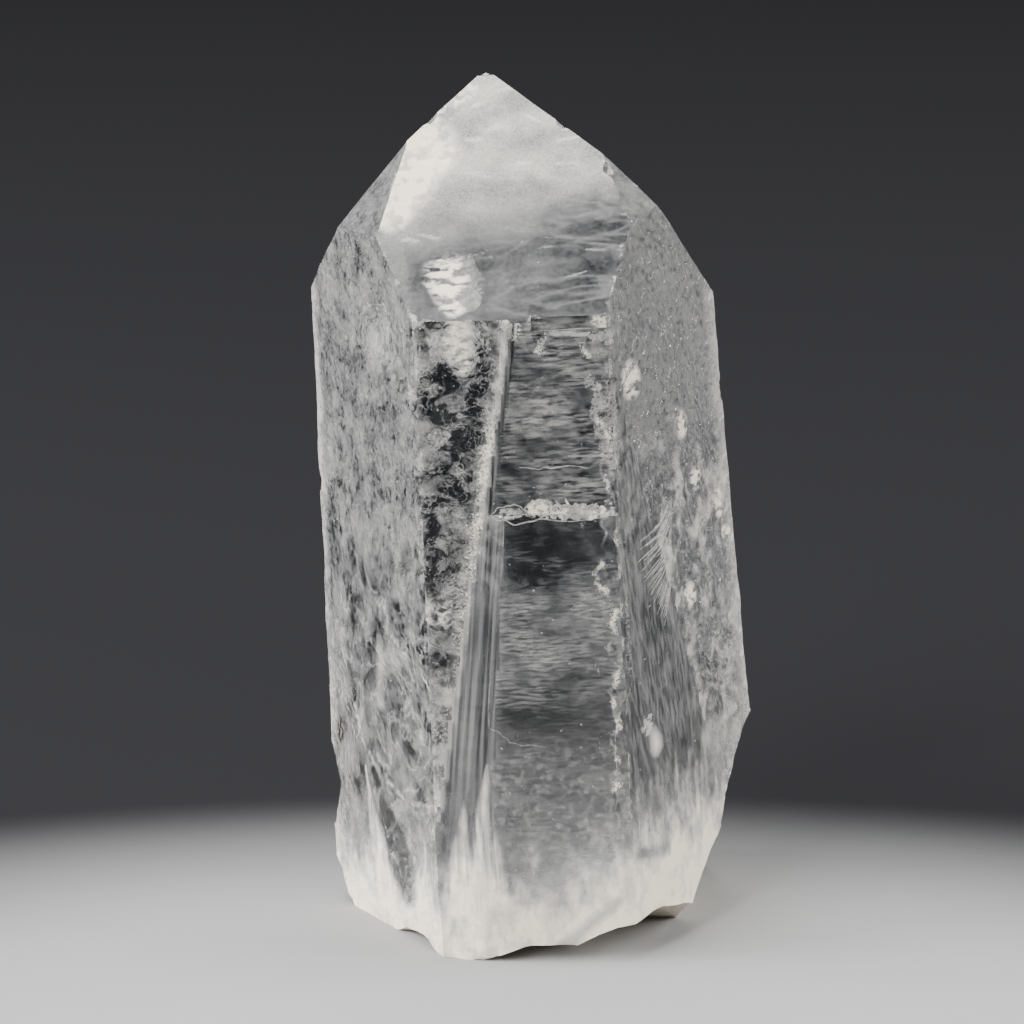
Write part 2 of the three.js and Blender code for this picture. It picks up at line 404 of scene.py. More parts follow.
def line_gap(tree, start, end, start_unit=1.0, end_unit=1.0):
    """How far a place is from the line between two places in mm, in a unit that may change."""
    start, end = Vector(start) * MM, Vector(end) * MM
    along = (end - start) / (end - start).length_squared
    place = add(tree, "TexCoord", output="Object")
    offset = add(tree, "VectorMath", (place, start), operation="SUBTRACT")
    dot = add(tree, "VectorMath", (offset, along), "Value", operation="DOT_PRODUCT")
    share = add(tree, "MapRange", (dot, 0.0, 1.0))
    foot = add(tree, "VectorMath", {0: end - start, "Scale": share}, operation="SCALE")
    gap = add(tree, "VectorMath", (offset, foot), "Value", operation="DISTANCE")
    unit = add(tree, "MapRange", (share, 0.0, 1.0, start_unit * MM, end_unit * MM))
    return add(tree, "Math", (gap, unit), operation="DIVIDE")


def crumbs(tree, gap, width, ragged, size, share=0.45):
    """Bruised white in stretches where the gap is small, ragged towards its width."""
    lumps = grain(tree, size, detail=4.0, distortion=0.5)
    torn = add(tree, "MapRange", (lumps, 0.3, 0.7, -ragged, ragged))
    torn_gap = add(tree, "Math", (gap, torn), operation="ADD")
    edge = add(tree, "MapRange", (torn_gap, width * 0.4, width, 1.0, 0.0))
    stretches = mottle(tree, 1.3, 0.06, share, detail=3.0, seed=3.0)
    return add(tree, "Math", (edge, stretches), operation="MULTIPLY")


def wandering(tree, gap, size, reach, seed=0.0, low=0.35, high=0.65):
    """How far a place is from a line that wanders out from an arris by up to a reach in mm."""
    path = grain(tree, size, stretch=(1000, 1000, 1), detail=3.0, seed=seed)
    swing = add(tree, "MapRange", (path, low, high, 0.0, reach))
    return add(tree, "Math", (gap, swing), operation="SUBTRACT")


def fade(tree, start, end):
    """Rises from 0 at the first place to 1 at the second, along the line between them."""
    start, end = Vector(start), Vector(end)
    along = (end - start).normalized() / MM
    place = add(tree, "TexCoord", output="Object")
    dot = add(tree, "VectorMath", (place, along), "Value", operation="DOT_PRODUCT")
    return add(tree, "MapRange", (dot, start.dot(along * MM), end.dot(along * MM)))


def near(tree, middle, radius):
    """1 at a place, falling to 0 at a radius from it."""
    place = add(tree, "TexCoord", output="Object")
    gap = add(tree, "VectorMath", (place, Vector(middle) * MM), "Value", operation="DISTANCE")
    return add(tree, "MapRange", (gap, 0.0, radius * MM, 1.0, 0.0))


def height_band(tree, low, high, soft):
    """1 between two heights along the crystal, with soft ends."""
    height = add(tree, "SeparateXYZ", (place_on_crystal(tree),), "Z")
    above = add(tree, "MapRange", (height, low - soft, low + soft))
    below = add(tree, "MapRange", (height, high - soft, high + soft, 1.0, 0.0))
    return add(tree, "Math", (above, below), operation="MULTIPLY")


def rim(tree, gap, inner, outer):
    """1 where the gap is small, falling smoothly to 0 from the inner to the outer distance."""
    return add(tree, "MapRange", (gap, inner, outer, 1.0, 0.0))


def stroke(tree, start, end, start_width, end_width):
    """1 on the line between two places in mm, falling softly to 0 at those distances from it."""
    return rim(tree, line_gap(tree, start, end, start_width, end_width), 0.3, 1.0)


# Milk drawn out upwards in spires: share, ends and widths.
SPIRES = [
    (0.8, (-3.1, -12.5, 13.9), (-3.6, -12.6, 4.5), 0.2, 2.0),
    (0.8, (-4.6, -12.5, 13.0), (-5.4, -12.6, 4.0), 0.15, 1.3),
    (0.6, (-2.3, -12.5, 11.2), (-2.6, -12.6, 4.0), 0.15, 1.2),
    (0.8, (-11.7, -3.3, 11.0), (-10.6, -5.0, 3.0), 0.15, 1.7),
    (0.6, (-7.6, -9.8, 7.6), (-7.4, -10.2, 2.0), 0.2, 1.6),
    (0.5, (10.0, -8.1, 13.6), (10.6, -7.8, 8.8), 0.35, 0.5),
    (0.4, (11.5, -5.8, 12.0), (11.7, -5.9, 8.5), 0.35, 0.5),
]
# Even patches of milk, of which the first is a clear gap: share, ends and widths.
MILK_PATCHES = [
    (-1.0, (-10.9, -4.4, 10.6), (-8.7, -7.6, 3.4), 0.45, 1.7),
    (0.4, (-1.8, -12.6, 8.5), (0.1, -12.7, 6.9), 0.15, 0.3),
    (0.9, (8.0, -11.2, 17.4), (8.9, -10.2, 14.7), 0.35, 1.3),
    (0.3, (12.2, -4.0, 13.8), (14.5, 0, 12.7), 1.4, 2.2),
]
# Painted shade that thins the milk: the shadows of a shell at the foot and of a crease, and a dark streak
# between light ones: ends and widths.
PAINTED_SHADE_STROKES = [
    ((2.0, -12.9, 1.0), (5.8, -12.9, 4.3), 0.8, 0.6),
    ((6.7, -12.7, 7.6), (9.6, -9.6, 6.9), 0.5, 0.8),
    ((7.9, -11.7, 13.4), (9.0, -10.3, 10.0), 1.1, 1.0),
]


def base_milk(tree):
    """How milky the crystal is: dense at the base, thinning upwards, with spires on the left, and thinned
    by painted shade low at the front right.
    """
    x, y, z = add(tree, "SeparateXYZ", (place_on_crystal(tree),)).node.outputs
    rise = add(tree, "MapRange", (x, 1.0, 14.5, 0.0, 5.2))
    left = add(tree, "MapRange", (x, -6.0, -12.5, 0.0, 3.0))
    sink = add(tree, "MapRange", (y, -9.0, 6.0, 0.0, -4.5))
    puffs = grain(tree, 1.3, (1, 1, 2), 8.0, 0.3)
    clouds = add(tree, "MapRange", (puffs, 0.3, 0.7, -2.0, 2.0))
    top = blend(tree, (rise,), (left,), (sink,), (clouds,), (4.7,))
    depth = add(tree, "Math", (top, z), operation="SUBTRACT")
    rising, risen, speckled, trailing, solid = [
        add(tree, "MapRange", (depth, low, high))
        for low, high in [(-4.5, 3.0), (-0.8, 3.0), (-5.0, -1.0), (-7.0, -2.0), (2.0, 5.0)]
    ]
    trails = mottle(tree, 0.5, 0.15, 0.45, stretch=(1, 1, 8))
    right = add(tree, "MapRange", (x, 6.5, 9.0))
    drawn_out = mottle(tree, 0.4, 0.2, 0.7, stretch=(1, 1, 16))
    milk = blend(
        tree,
        (0.45, rising),
        (0.55, risen),
        (0.16, speckled, mottle(tree, 0.5, 0.15, 0.45, detail=4.0)),
        (0.2, trailing, trails, right),
        *[(share, stroke(tree, *spire), drawn_out) for share, *spire in SPIRES],
        *[(share, stroke(tree, *patch)) for share, *patch in MILK_PATCHES],
    )
    whole = add(tree, "MapRange", (milk, 0.0, 1.0))
    patchy = grain(tree, 1.1, (1, 1, 1.5), 5.0)
    thinner = add(tree, "MapRange", (patchy, 0.4, 0.6, 0.74, 1.1))
    thin_milk = add(tree, "Math", (whole, thinner), operation="MULTIPLY")
    all_milk = strongest(tree, [thin_milk, solid])
    # Painted shade: along these strokes the milk is thinned to 0.4 of itself.
    painted_shade = strongest(tree, [stroke(tree, *ends) for ends in PAINTED_SHADE_STROKES])
    painted_shade_factor = add(tree, "MapRange", (painted_shade, 0.0, 1.0, 1.0, 0.4))
    return add(tree, "Math", (all_milk, painted_shade_factor), operation="MULTIPLY")


def finish_quartz(material, haze, roughness, height, rise):
    """Gives quartz its haze, its patches of roughness, and a relief that rises so many mm."""
    tree = material.node_tree
    milk = add(tree, "Math", (base_milk(tree), MOST_MILK), operation="MINIMUM")
    hazy = strongest(tree, [haze, milk])
    milky = add(tree, "Math", (hazy, 1.0), operation="MINIMUM")
    tint = add(tree, "ValToRGB", (milky,))
    tint.node.color_ramp.elements[0].color = linear("#eef0f2")
    tint.node.color_ramp.elements[1].color = linear("#fdf0d9")
    patch, least, most = roughness
    terms = {
        "Base Color": tint,
        "IOR": 1.544,
        "Transmission Weight": add(tree, "Math", (1.0, milky), operation="SUBTRACT"),
        "Roughness": add(tree, "MapRange", (grain(tree, patch), 0.3, 0.7, least, most)),
        "Normal": add(tree, "Bump", {"Height": height, "Distance": rise * MM}),
    }
    shader = add(tree, "BsdfPrincipled", terms)
    depth = add(tree, "VolumeAbsorption", {"Color": linear("#c8cacc"), "Density": 4.0})
    add(tree, "OutputMaterial", {"Surface": shader, "Volume": depth})
    return material


MOST_MILK = 0.98
# How rough a face is: the size of its patches, then its least and most roughness.
SATIN = (1.5, 0.05, 0.15)
GLASSY = (2.0, 0.02, 0.08)
LEFT_CLEFT = ((-10.9, -4.4, 11.0), (-8.7, -7.6, 3.4))  # the ends of a clear cleft
SEAM_FLECK = ((-8.3, -11.6, 19.9), (-6.7, -12.1, 18.5), 0.3, 0.22)  # ends and widths


def chipped_tip_edge(tree):
    """White crumbs along the edges of the large front tip face."""
    return crumbs(tree, arris_gap(tree, "from_tip_arris"), 0.16, 0.3, 0.15, 0.3)


def satin_tip():
    """The large tip faces: a white satin skin that ends in soft waves, and is clear below."""
    material, tree = new_material("satin_tip_quartz")
    thick = fade(tree, (-1.8, -8.2, 49.0), (-2.9, -5.5, 52.8))
    thin = add(tree, "Math", (1, thick), operation="SUBTRACT")
    waves = worms(tree, 1.2, 0.07, stretch=(5, 5, 1), detail=2.0, distortion=0.3)
    right = fade(tree, (-5, -9, 48), (4, -9, 48))
    white_wedge = stroke(tree, (-7.6, -3.7, 54.6), (-9.6, -6.6, 50.8), 3.0, 1.6)
    worn_point = stroke(tree, (-8, -3, 55), (-4.5, -0.8, 58.4), 1.4, 1.0)
    inclusion = stroke(tree, (-5.8, -9.7, 47.2), (-5.4, -11.0, 45.5), 1.9, 1.1)
    streaks = mottle(tree, 0.45, 0.09, 0.5, stretch=(2.2, 2.2, 0.8), detail=4.0, distortion=0.4)
    pale = mottle(tree, 1.0, 0.3, 0.45, stretch=(2.6, 2.6, 1), detail=5.0, distortion=0.4)
    haze = blend(
        tree,
        (0.02,),
        (0.2, thick),
        (0.2, thick, mottle(tree, 2.0, 0.12, 0.5, stretch=(1.5, 1.5, 1), detail=5.0)),
        (0.16, thick, mottle(tree, 0.16, 0.2, 0.5, detail=1.0)),
        (0.3, white_wedge),
        (0.9, white_wedge, mottle(tree, 0.8, 0.1, 0.5, detail=5.0)),
        (0.5, worn_point, mottle(tree, 0.5, 0.06, 0.36, detail=4.0)),
        (0.035, thin, add(tree, "Math", (1, right), operation="SUBTRACT")),
        (-0.12, near(tree, (-5.4, -9.6, 47.2), 3.4)),
        (1.6, inclusion, streaks),
        (0.11, thin, right, waves),
        (0.05, thin, mottle(tree, 0.3, 0.2, 0.5, detail=2.0)),
        (-0.055, thin, right),
        (0.12, thin, pale),
        (0.4, chipped_tip_edge(tree)),
    )
    swells = grain(tree, 1.6, stretch=(2.6, 2.6, 1), detail=1.0, distortion=1.0)
    height = blend(tree, (swells,), (0.06, grain(tree, 0.3)))
    return finish_quartz(material, haze, SATIN, height, 0.08)


def clear_tip():
    """The small tip faces: thinly frosted, with grains of etching."""
    material, tree = new_material("clear_tip_quartz")
    haze = blend(
        tree,
        (0.03,),
        (0.1, mottle(tree, 0.3, 0.2, 0.5, detail=2.0)),
        (0.12, mottle(tree, 1.4, 0.2, 0.45, detail=5.0)),
        (0.35, chipped_tip_edge(tree)),
    )
    height = grain(tree, 0.8, detail=3.0)
    return finish_quartz(material, haze, SATIN, height, 0.08)


def etched_left():
    """The left prism face: an even frost with fine pits, clearer and cloudy lower down, with a painted rim
    highlight along its outer edge.
    """
    material, tree = new_material("frosted_prism_quartz")
    high = height_band(tree, 27, 60, 3)
    low = add(tree, "Math", (1, high), operation="SUBTRACT")
    wisps = worms(tree, 2.6, 0.025, stretch=(1, 1, 1.6), detail=3.0, distortion=1.0)
    bends = [(-12.4, -2.0, 15.4), (-11.9, -3.0, 12.8), (-10.6, -4.8, 11.2)]
    bends += [(-8.7, -8.3, 9.9), (-6.6, -11.6, 10.6)]
    ridge = strongest(tree, [stroke(tree, *ends, 0.28, 0.28) for ends in zip(bends, bends[1:])])
    border = wandering(tree, arris_gap(tree, "from_panel_border"), 3.5, 2.6, 5.0, 0.46, 0.62)
    past_border = add(tree, "MapRange", (border, -0.5, 0.5, 1.0, 0.0))
    slits = mottle(tree, 0.5, 0.08, 0.22, stretch=(1, 1, 4), detail=2.0, tilt=-14)
    ripples = worms(tree, 0.7, 0.12, stretch=(2.2, 2.2, 1), detail=2.0, distortion=0.8, tilt=35)
    haze = blend(
        tree,
        (0.02, high),
        (0.07, mottle(tree, 0.3, 0.2, 0.5, stretch=(1, 1, 1.2), detail=2.0, distortion=0.5)),
        (0.07, high, mottle(tree, 0.16, 0.2, 0.5, detail=1.0, seed=2.0)),
        (0.14, mottle(tree, 1.8, 0.12, 0.5, stretch=(1, 1, 1.3), detail=5.0, distortion=0.4)),
        (-0.1, high, mottle(tree, 0.35, 0.08, 0.3, stretch=(1, 1, 1.5), detail=4.0, distortion=0.5)),
        (0.07, high, worms(tree, 0.9, 0.05, stretch=(1, 1, 1.4), detail=2.0, distortion=1.0)),
        (-0.1, slits, height_band(tree, 20, 34, 3)),
        (0.18, near(tree, (-8.4, -9.0, 21.0), 5.0), ripples),
        (-0.07, low),
        (-0.09, past_border),
        (0.2, past_border, mottle(tree, 0.9, 0.08, 0.35, detail=4.0, distortion=0.8)),
        (0.14, past_border, worms(tree, 0.8, 0.05, detail=2.0, distortion=1.2)),
        (-0.2, stroke(tree, *LEFT_CLEFT, 0.6, 1.8)),
        (0.2, low, mottle(tree, 2.0, 0.2, 0.34, stretch=(1, 1, 1.1), detail=5.0, distortion=0.6)),
        (0.16, low, wisps),
        (0.2, stroke(tree, (-10.4, -5.8, 20.8), (-10.4, -5.4, 16.4), 0.7, 0.8)),
        (0.26, ridge, mottle(tree, 0.5, 0.12, 0.6, detail=3.0)),
        (2.0, stroke(tree, *SEAM_FLECK)),
        (0.06, near(tree, (-8.9, -7.7, 14.0), 2.5)),
        # Painted rim highlight: white along the outer arris, where the edge catches the side light.
        (0.22, rim(tree, arris_gap(tree, "from_outer_arris"), 0.3, 1.1)),
        (0.35, chipped_tip_edge(tree)),
    )
    height = grain(tree, 0.5, (1, 1, 1.4), 3.0, 0.5)
    return finish_quartz(material, haze, (2.0, 0.05, 0.16), height, 0.16)


# White flecks of the right face, and last a painted glint at its foot.
FLECKS_AND_FOOT_GLINT = [  # place and reach
    ((6.7, -9.9, 40.2), 1.6),
    ((10.2, -4.1, 35.7), 1.1),
    ((11.2, -2.8, 31.6), 1.0),
    ((10.8, -4.8, 23.8), 1.1),
    ((13.4, 0.5, 26.9), 0.8),
    ((12.9, -0.1, 28.7), 0.7),
    ((12.8, -0.2, 29.6), 0.7),
    # A painted glint at the right foot.
    ((10.9, -7.7, 7.0), 1.6),
]


def etched_right():
    """The right prism face: softly frosted high up, cloudy with clear hollows lower down, with a painted
    rim highlight along its outer edge.
    """
    material, tree = new_material("pitted_prism_quartz")
    high = height_band(tree, 34, 60, 3)
    low = add(tree, "Math", (1, high), operation="SUBTRACT")
    # White flecks, and a painted glint at the foot of the face.
    flecks_and_glint = strongest(tree, [near(tree, *fleck) for fleck in FLECKS_AND_FOOT_GLINT])
    haze = blend(
        tree,
        (0.015,),
        (0.14, high),
        (0.08, mottle(tree, 0.3, 0.2, 0.5, detail=2.0, distortion=0.5)),
        (0.06, mottle(tree, 2.2, 0.25, 0.5, detail=4.0)),
        (-0.12, high, mottle(tree, 0.45, 0.08, 0.3, detail=3.0, distortion=0.5)),
        (0.36, low, mottle(tree, 2.0, 0.08, 0.3, detail=5.0, distortion=0.6)),
        (0.18, low, mottle(tree, 0.9, 0.08, 0.3, detail=3.0, distortion=1.0)),
        (0.13, low, worms(tree, 1.9, 0.035, detail=2.0, distortion=1.0)),
        (1.9, flecks_and_glint, mottle(tree, 0.5, 0.06, 0.5, stretch=(2, 2, 1), detail=5.0, distortion=0.4)),
        # Painted rim highlight: white along the outer arris, where the edge catches the side light.
        (0.25, rim(tree, arris_gap(tree, "from_outer_arris"), 0.4, 1.9)),
        (0.3, crumbs(tree, arris_gap(tree, "from_right_border"), 0.3, 0.4, 0.2)),
        (0.35, chipped_tip_edge(tree)),
    )
    height = grain(tree, 0.6, (1, 1, 1.4), 3.0, 0.8)
    return finish_quartz(material, haze, (2.0, 0.05, 0.15), height, 0.18)


def glassy_rear():
    """The rear prism faces: bright and glassy, with scattered etch specks and growth lines."""
    material, tree = new_material("glassy_prism_quartz")
    haze = blend(
        tree,
        (0.02,),
        (0.16, mottle(tree, 1.0, 0.1, 0.45, stretch=(1.3, 1.3, 1), detail=4.0), mottle(tree, 4.0)),
    )
    height = grain(tree, 0.6, (3, 3, 1), 3.0, 0.5)
    return finish_quartz(material, haze, GLASSY, height, 0.08)


def bruised_part(tree):
    """Where the seam is bruised white: strongly in its middle, and a little elsewhere."""
    return add(tree, "MapRange", (height_band(tree, 22, 37, 2.5), 0.0, 1.0, 0.35, 1.0))


# Marks on the front face: strength, ends and widths, then the size, edge, share and detail
# of the mottle that breaks each one up.
FRONT_MARKS = [
    (1.3, (3.0, -12, 43.85), (5.2, -12, 44.0), 0.12, 0.25, 0.5, 0.1, 0.6, 3.0),
    (1.0, (4.4, -12, 44.9), (5.5, -12, 44.3), 0.8, 0.8, 0.4, 0.08, 0.4, 4.0),
    (-0.07, (-2.2, -12.5, 29.4), (5.5, -12.5, 29.6), 2.6, 2.2, 1.5, 0.2, 0.5, 4.0),
    (-0.08, (-0.6, -12.5, 27.4), (1.2, -12.5, 27.0), 1.6, 1.4, 1.0, 0.2, 0.6, 4.0),
    (1.3, (-0.1, -12.3, 31.8), (0.7, -12.3, 32.0), 0.6, 0.7, 0.4, 0.06, 0.6, 4.0),
]


def striated_front():
    """The front prism face: clear, with short soft growth lines across it."""
    material, tree = new_material("striated_prism_quartz")
    dashes = mottle(tree, 0.16, 0.12, 0.5, stretch=(6, 6, 1), detail=3.0)
    clusters = mottle(tree, 1.7, 0.18, 0.5, stretch=(1.6, 1.6, 1), detail=5.0)
    etched = mottle(tree, 0.7, 0.22, 0.5, stretch=(1.7, 1.7, 1), detail=5.0, distortion=0.8)
    upper = height_band(tree, 32, 45, 0.5)
    lined = add(tree, "Math", (upper, height_band(tree, 19, 27, 2)), operation="ADD")
    band = rim(tree, line_gap(tree, *SEAM), 0.75, 0.95)
    border = wandering(tree, arris_gap(tree, "from_right_border"), 3.2, 1.6)
    border_gap = add(tree, "Math", (border,), operation="ABSOLUTE")
    past_border = add(tree, "MapRange", (border, -0.15, 0.15, 1.0, 0.0))
    off_band = add(tree, "Math", (1, band), operation="SUBTRACT")
    slit_lines = mottle(tree, 0.2, 0.1, 0.5, stretch=(7, 7, 1), detail=3.0)
    marks = [
        (strength, stroke(tree, *line), mottle(tree, size, edge, share, detail=detail))
        for strength, *line, size, edge, share, detail in FRONT_MARKS
    ]
    haze = blend(
        tree,
        (0.012,),
        (0.1, dashes, clusters, off_band),
        (0.2, dashes, clusters, lined, off_band),
        (0.12, lined, etched, off_band),
        (0.3, near(tree, (0.8, -12.2, 38.8), 2.6), mottle(tree, 0.5, 0.1, 0.5, stretch=(2, 2, 1))),
        (0.17, band, mottle(tree, 0.22, 0.12, 0.4, stretch=(1, 1, 30), detail=2.0, tilt=7)),
        (0.03, height_band(tree, 5, 17, 2.5)),
        (0.1, etched, height_band(tree, 5, 15, 2.5)),
        (0.12, mottle(tree, 0.5, 0.08, 0.25), height_band(tree, 6, 15, 1.5)),
        (-0.03, stroke(tree, (-1.6, -12.5, 18.3), (1.0, -12.5, 18.0), 2.4, 2.6)),
        (0.5, crumbs(tree, line_gap(tree, *SEAM), 0.2, 0.2, 0.15, 0.5), bruised_part(tree)),
        (0.04, rim(tree, arris_gap(tree, "from_band_border"), 0.1, 0.5)),
        (0.7, crumbs(tree, border_gap, 0.24, 0.3, 0.13, 0.3)),
        (0.16, rim(tree, border_gap, 0.05, 0.14), mottle(tree, 1.4, 0.1, 0.5)),
        (0.1, past_border, mottle(tree, 0.3, 0.15, 0.5, stretch=(1, 1, 20), tilt=-13)),
        (0.1, past_border, mottle(tree, 0.9, 0.08, 0.35, detail=4.0)),
        (-0.04, past_border),
        (0.9, crumbs(tree, line_gap(tree, (0.9, -12, 31.6), (5.2, -12, 31.5)), 0.5, 0.6, 0.35, 0.62)),
        (0.8, crumbs(tree, line_gap(tree, (1.5, -12, 44), (4.6, -12, 43.9)), 0.16, 0.16, 0.12, 0.6)),
        (0.2, stroke(tree, (0.0, -12, 44.5), (5.0, -12, 44.5), 0.7, 0.7), slit_lines),
        (1.3, stroke(tree, (0.5, -12, 43.95), (2.0, -12, 43.95), 0.14, 0.1)),
        (0.5, stroke(tree, (-1.9, -12.3, 31.4), (-0.9, -12.3, 31.6), 0.4, 0.35)),
        (-0.04, upper),
        *marks,
    )
    height = grain(tree, 0.4, (5, 5, 1), 2.0)
    return finish_quartz(material, haze, GLASSY, height, 0.02)


def worm_etched_panel():
    """The set-back panel left of the seam: dark and clear, with curly etch lines."""
    material, tree = new_material("worm_etched_quartz")
    clusters = mottle(tree, 2.2, 0.15, 0.5, detail=3.0)
    curls = worms(tree, 0.8, 0.06, detail=2.0, distortion=1.5)
    border = wandering(tree, arris_gap(tree, "from_panel_border"), 3.5, 1.9, 5.0, 0.5, 0.34)
    past_border = add(tree, "MapRange", (border, -0.3, 0.6, 1.0, 0.0))
    inclusion = stroke(tree, (-5.3, -12, 43.9), (-4.8, -12, 41.6), 1.5, 0.8)
    crumbled = mottle(tree, 0.6, 0.08, 0.4, detail=4.0, distortion=0.8)
    haze = blend(
        tree,
        (0.005,),
        (0.1, past_border),
        (0.14, past_border, mottle(tree, 1.3, 0.12, 0.5, detail=5.0, distortion=0.5)),
        (2.0, stroke(tree, *SEAM_FLECK)),
        (1.2, inclusion, mottle(tree, 0.45, 0.09, 0.5, stretch=(2, 2, 0.8), detail=4.0)),
        (1.2, near(tree, (-6.3, -12.2, 24.3), 1.5), crumbled),
        (0.24, mottle(tree, 1.1, 0.1, 0.4, stretch=(1.4, 1.4, 1), detail=5.0, distortion=0.8)),
        (0.28, curls, clusters),
        (0.7, crumbs(tree, line_gap(tree, *SEAM), 0.5, 0.5, 0.15, 0.55), bruised_part(tree)),
        (0.12, rim(tree, arris_gap(tree, "from_seam"), 0.2, 0.8)),
        (-0.2, stroke(tree, (-7.2, -12.1, 31.1), (-7.2, -12.2, 26.6), 1.0, 1.0)),
        (-0.08, stroke(tree, (-5.2, -12.1, 40.5), (-5.8, -12.2, 34.5), 3.2, 3.2)),
    )
    height = grain(tree, 1.0, detail=2.0, distortion=1.0)
    return finish_quartz(material, haze, GLASSY, height, 0.12)


def streaked_band(name, tilt):
    """A narrow band beside an arris, drawn out in fine lines that lean by the tilt."""
    material, tree = new_material(name)
    upper = add(tree, "MapRange", (height_band(tree, 13, 60, 2.5), 0.0, 1.0, 0.35, 1.0))
    haze = blend(
        tree,
        (0.015,),
        (0.06, rim(tree, line_gap(tree, *SEAM), 0.3, 0.9), mottle(tree, 3.0, 0.2)),
        (0.13, upper, mottle(tree, 0.25, 0.12, 0.45, stretch=(1, 1, 60), detail=2.0, tilt=tilt)),
        (0.08, upper, mottle(tree, 0.7, 0.12, 0.35, stretch=(1, 1, 40), tilt=tilt)),
        (0.04, mottle(tree, 2.0, 0.2, 0.5, detail=4.0)),
        (0.16, height_band(tree, 27, 44, 3), mottle(tree, 1.2, 0.1, 0.4, detail=5.0, distortion=0.6)),
        (0.7, crumbs(tree, line_gap(tree, *SEAM), 0.35, 0.3, 0.15, 0.5), bruised_part(tree)),
        (0.2, rim(tree, arris_gap(tree, "from_seam"), 0.1, 0.45)),
        (0.4, crumbs(tree, arris_gap(tree, "from_right_border"), 0.3, 0.4, 0.15, 0.3)),
    )
    height = grain(tree, 0.3, (1, 1, 30), 2.0, tilt=tilt)
    return finish_quartz(material, haze, (2.0, 0.03, 0.12), height, 0.035)


def broken_base():
    """The broken base: glassy shells, white with bruises and the milk behind them."""
    material, tree = new_material("broken_base_quartz")
    haze = blend(
        tree,
        (0.1,),
        (0.2, mottle(tree, 1.3, 0.15, 0.4, stretch=(1, 1, 1.4), detail=5.0, distortion=0.8)),
        (0.16, worms(tree, 1.5, 0.05, stretch=(1, 1, 1.5), detail=2.0, distortion=1.0)),
        (-0.2, stroke(tree, *LEFT_CLEFT, 0.8, 2.2)),
    )
    height = grain(tree, 0.7, detail=4.0)
    return finish_quartz(material, haze, (1.0, 0.1, 0.3), height, 0.15)


FINISHES = [
    (satin_tip(), ["large_front"]),
    (clear_tip(), ["small_right", "small_left"]),
    (etched_left(), ["front_left"]),
    (etched_right(), ["front_right"]),
    (glassy_rear(), REAR_FACES + ["large_right", "large_left", "small_back"]),
    (striated_front(), FRONT_FACES),
    (worm_etched_panel(), ["seam_panel"]),
    (streaked_band("seam_band_quartz", 7), ["seam_band"]),
    (streaked_band("right_band_quartz", -13), ["right_band"]),
    (broken_base(), ["broken"]),
]
SHARP_FROM = math.radians(28)
finish_of_face = np.zeros(len(skin_faces), dtype=np.int32)
for index, (material, names) in enumerate(FINISHES):
    crystal.data.materials.append(material)
    finish_of_face[np.isin(skin_faces, names)] = index
crystal.data.polygons.foreach_set("material_index", finish_of_face)
crystal.select_set(True)
bpy.ops.object.shade_smooth_by_angle(angle=SHARP_FROM)
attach(crystal, "root")
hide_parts("quartz_point")


# ---------------------------------------------------------------------------------------
# Healed cracks and bruises sealed in the crystal: ragged flakes of tiny bubbles that shine
# white. Each grew where a crack closed again, so it is a thin sheet with a torn outline.
def bubble_white(name, share, cover):
    """A film of bubbles and air that shines like white satin, with holes and thin places."""
    material, tree = new_material(name)
    holes = mottle(tree, 0.2, 0.12, share, detail=4.0)
    film = add(tree, "Math", (holes, cover), operation="MULTIPLY")
    shine = {"Base Color": linear("#fefbf3"), "Roughness": 0.4, "Alpha": film}
    add(tree, "OutputMaterial", (add(tree, "BsdfPrincipled", shine),))
    return material


TEARS = (0.8, 2.2, 5)  # the noise's dimension, lacunarity and octaves
FOLD_SIZE = 0.8 * MM
SHEET_THICKNESS = 0.03 * MM


def torn_sheet(name, place, size, turn, seed, keep, cell, rough, tear, flare=0):
    """A thin sheet torn in holes of that size, at a place in mm, turned by angles in degrees."""
    bpy.ops.object.select_all(action="DESELECT")
    bpy.ops.mesh.primitive_grid_add(
        x_subdivisions=round(size[0] / cell),
        y_subdivisions=round(size[1] / cell),
        size=MM,
    )
    sheet = bpy.context.object
    sheet.name = name
    bpy.ops.object.mode_set(mode="EDIT")
    bpy.ops.transform.resize(value=(size[0], size[1], 1))
    bpy.ops.mesh.select_all(action="DESELECT")
    bpy.ops.object.mode_set(mode="OBJECT")
    for face in sheet.data.polygons:
        x, y = face.center.x / (size[0] * MM / 2), face.center.y / (size[1] * MM / 2)
        torn = noise.fractal(face.center / MM / tear + Vector((seed, 0, 0)), *TEARS)
        face.select = torn * 0.9 > keep * 1.6 - ((x / (1 + flare * y)) ** 2 + y**4)
    bpy.ops.object.mode_set(mode="EDIT")
    bpy.ops.mesh.delete(type="FACE")
    bpy.ops.object.mode_set(mode="OBJECT")
    folds = bpy.data.textures.new(name, "CLOUDS")
    folds.noise_scale = FOLD_SIZE
    modify(sheet, "crumple", "DISPLACE", texture=folds, texture_coords="LOCAL", strength=rough * MM)
    modify(sheet, "thickness", "SOLIDIFY", thickness=SHEET_THICKNESS)
    sheet.rotation_euler = [math.radians(angle) for angle in turn]
    sheet.location = Vector(place) * MM
    bpy.ops.object.transform_apply(location=True, rotation=True, scale=True)
    return sheet


skin = BVHTree.FromPolygons(
    [vertex.co for vertex in crystal.data.vertices],
    [face.vertices for face in crystal.data.polygons],
)
UNDER_SKIN = 0.12 * MM
TUCK_ROUNDS = 3


def tuck_under_skin(piece):
    """Pushes back under the skin, in a few rounds, what stands too close to it or out of it."""
    for _ in range(TUCK_ROUNDS):
        for vertex in piece.data.vertices:
            foot, outward, _, _ = skin.find_nearest(vertex.co)
            height = (vertex.co - foot).dot(outward)
            if height > -UNDER_SKIN:
                vertex.co -= outward * (height + UNDER_SKIN)


